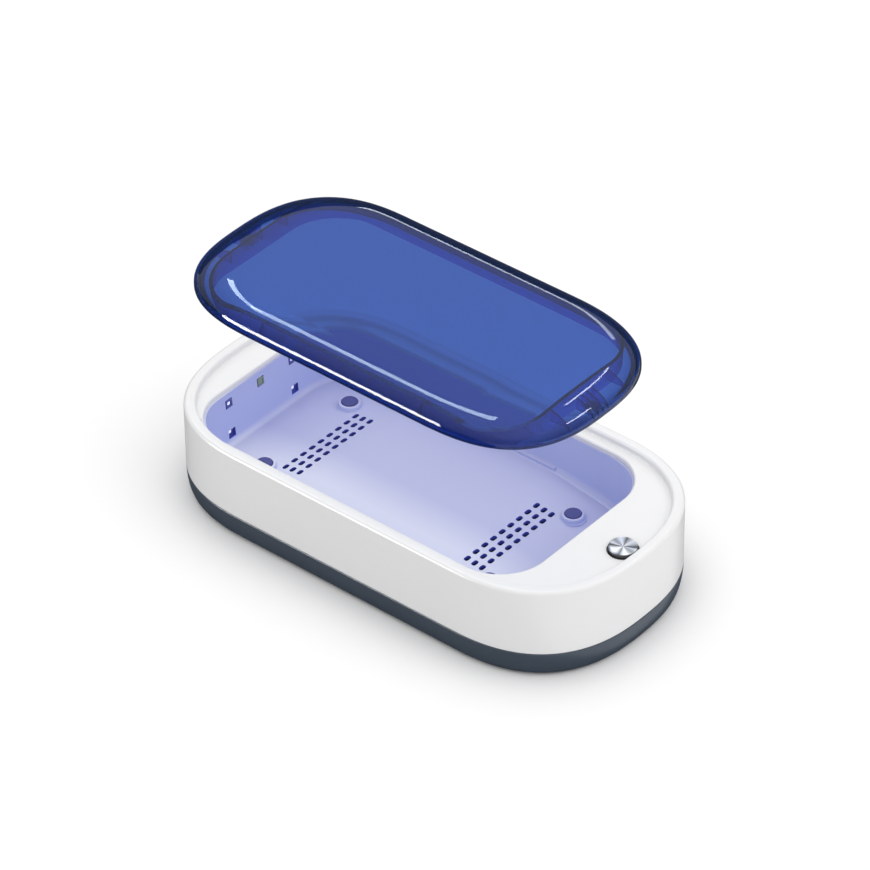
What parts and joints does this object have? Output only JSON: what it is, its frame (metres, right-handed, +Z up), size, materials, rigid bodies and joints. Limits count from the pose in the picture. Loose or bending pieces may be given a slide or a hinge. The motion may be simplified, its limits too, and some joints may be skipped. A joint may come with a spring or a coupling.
{
  "type": "uv sanitizer box",
  "caption": "Long rounded sanitizer box for a phone, with a lift-off tinted lid, ultraviolet lamps in a pale chamber, a wireless charging plate and a metal push button.",
  "frame": {"origin": "middle of the box's plan, on the surface that the rubber feet stand on", "axes": "+X along the box towards the push button, +Y towards the back with the charging socket, +Z up, the way the lid lifts"},
  "size_m": [0.225, 0.1134, 0.1148],
  "materials": {
    "base_shell": "satin slate-grey moulding",
    "upper_housing": "satin white moulding",
    "chamber_tray": "pale lavender moulding with a soft sheen",
    "support_pads": "soft dark blue silicone",
    "lamp_board": "white solder mask",
    "uv_lamps": "small ceramic packages with a clear window",
    "phone_sensor": "grey-green sensor package",
    "coil_carrier": "dark grey moulding",
    "ferrite_sheet": "dark sintered sheet",
    "charging_coil": "enamelled copper wire",
    "circuit_board": "green solder mask",
    "chips": "black moulded packages",
    "power_inductor": "dark grey ferrite body",
    "board_sockets": "ivory nylon",
    "charging_socket": "plated steel shell",
    "tact_switch": "black body",
    "button_bezel": "gloss black ring",
    "rubber_feet": "matt black rubber",
    "magnets": "nickel-plated discs",
    "screws": "zinc-plated screws",
    "lamp_cable": "white flat cable",
    "lid_shell": "clear cobalt-blue moulding, polished",
    "button_cap": "circular spun metal",
    "switch_plunger": "grey nylon"
  },
  "bodies": {
    "housing": {"base_shell": "base_shell", "upper_housing": "upper_housing", "chamber_tray": "chamber_tray", "support_pads": "support_pads", "left_lamp_board": "lamp_board", "right_lamp_board": "lamp_board", "left_uv_lamps": "uv_lamps", "right_uv_lamps": "uv_lamps", "phone_sensor": "phone_sensor", "coil_carrier": "coil_carrier", "ferrite_sheet": "ferrite_sheet", "charging_coil": "charging_coil", "main_board": "circuit_board", "control_chips": "chips", "power_inductor": "power_inductor", "board_sockets": "board_sockets", "charging_socket": "charging_socket", "button_board": "circuit_board", "tact_switch": "tact_switch", "lid_sensor": "chips", "button_bezel": "button_bezel", "rubber_feet": "rubber_feet", "case_magnets": "magnets", "case_screws": "screws", "tray_screws": "screws", "main_board_screws": "screws", "carrier_screws": "screws", "lamp_board_screws": "screws", "button_board_screws": "screws", "left_lamp_cable": "lamp_cable", "right_lamp_cable": "lamp_cable"},
    "lid": {"lid_shell": "lid_shell", "lid_magnets": "magnets"},
    "button": {"button_cap": "button_cap", "switch_plunger": "switch_plunger"}
  },
  "joints": [
    {"name": "lid_lift", "type": "slide", "parent": "housing", "child": "lid", "axis": [0, 0, 1], "range_m": [-0.0623, 0]},
    {"name": "button_press", "type": "slide", "parent": "housing", "child": "button", "axis": [0, 0, -1], "range_m": [0, 0.0007], "stiffness_N_per_m": 2500}
  ]
}
